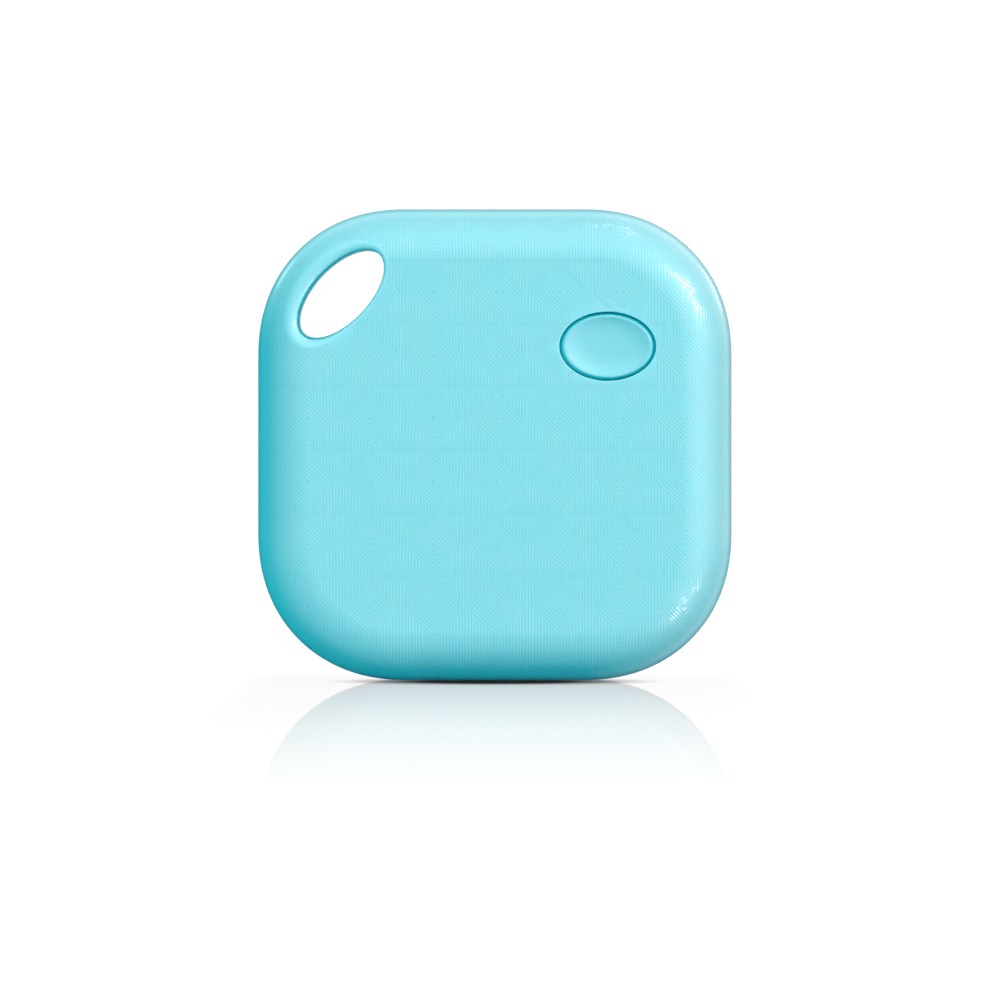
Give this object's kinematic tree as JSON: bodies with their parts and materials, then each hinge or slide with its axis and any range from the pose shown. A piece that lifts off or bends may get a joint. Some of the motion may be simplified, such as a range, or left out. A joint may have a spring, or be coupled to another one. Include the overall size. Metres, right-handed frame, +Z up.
{
  "type": "bluetooth tracker tag",
  "caption": "Soft-square plastic tracker tag with rolled edges, a slanted oval key-ring eyelet in one corner, an oval push button and a round coin-slot battery door at the rear.",
  "frame": {"origin": "middle of the lower edge, which the tag stands on", "axes": "+Z up, +Y through the thickness from the front face to the rear, +X to the right as the front is seen"},
  "size_m": [0.0376, 0.008, 0.0373],
  "materials": {
    "case_plastic": "satin-gloss moulded light cyan plastic, the front with fine relief lines",
    "button_plastic": "smooth gloss light cyan plastic",
    "black_rubber": "matte black rubber",
    "clear_silicone": "milky silicone rubber",
    "black_plastic": "matte black moulded plastic",
    "spring_steel": "satin sheet metal",
    "cell_steel": "fine turned nickel-plated steel",
    "board_laminate": "green solder mask over laminate, copper tracks under it",
    "sounder_brass": "satin brass",
    "ceramic": "matte white ceramic",
    "capacitor_tan": "matte tan ceramic with tinned ends"
  },
  "bodies": {
    "case": {"front_cover": "case_plastic", "rear_cover": "case_plastic", "case_seal": "black_rubber", "switch_base": "black_plastic", "switch_dome": "spring_steel", "switch_cover": "spring_steel", "cell_can": "cell_steel", "cell_gasket": "black_plastic", "cell_cap": "cell_steel", "battery_cradle": "black_plastic", "negative_contact": "spring_steel", "positive_contact": "spring_steel", "circuit_board": "board_laminate", "sounder_plate": "sounder_brass", "sounder_ceramic": "ceramic", "sounder_contact_plate": "spring_steel", "sounder_contact_ceramic": "spring_steel", "radio_chip": "black_plastic", "main_crystal": "spring_steel", "clock_crystal": "spring_steel", "chip_antenna": "ceramic", "power_inductor": "black_plastic", "capacitor_1": "capacitor_tan", "capacitor_2": "capacitor_tan", "capacitor_3": "capacitor_tan", "capacitor_4": "capacitor_tan", "board_screw_1": "spring_steel", "board_screw_2": "spring_steel", "board_screw_3": "spring_steel", "board_screw_4": "spring_steel"},
    "button": {"button_cap": "button_plastic", "button_pad": "clear_silicone", "switch_plunger": "black_plastic"},
    "door": {"battery_door": "case_plastic", "door_seal": "black_rubber"}
  },
  "joints": [
    {"name": "button_press", "type": "slide", "parent": "case", "child": "button", "axis": [0, 1, 0], "range_m": [0, 0.00025], "stiffness_N_per_m": 1500, "springref_m": -0.0003, "deforming": ["switch_dome"]},
    {"name": "door_turn", "type": "hinge", "parent": "case", "child": "door", "pos_m": [0.001, 0.003, 0.01615], "axis": [0, 1, 0], "range_deg": [0, 30]}
  ]
}
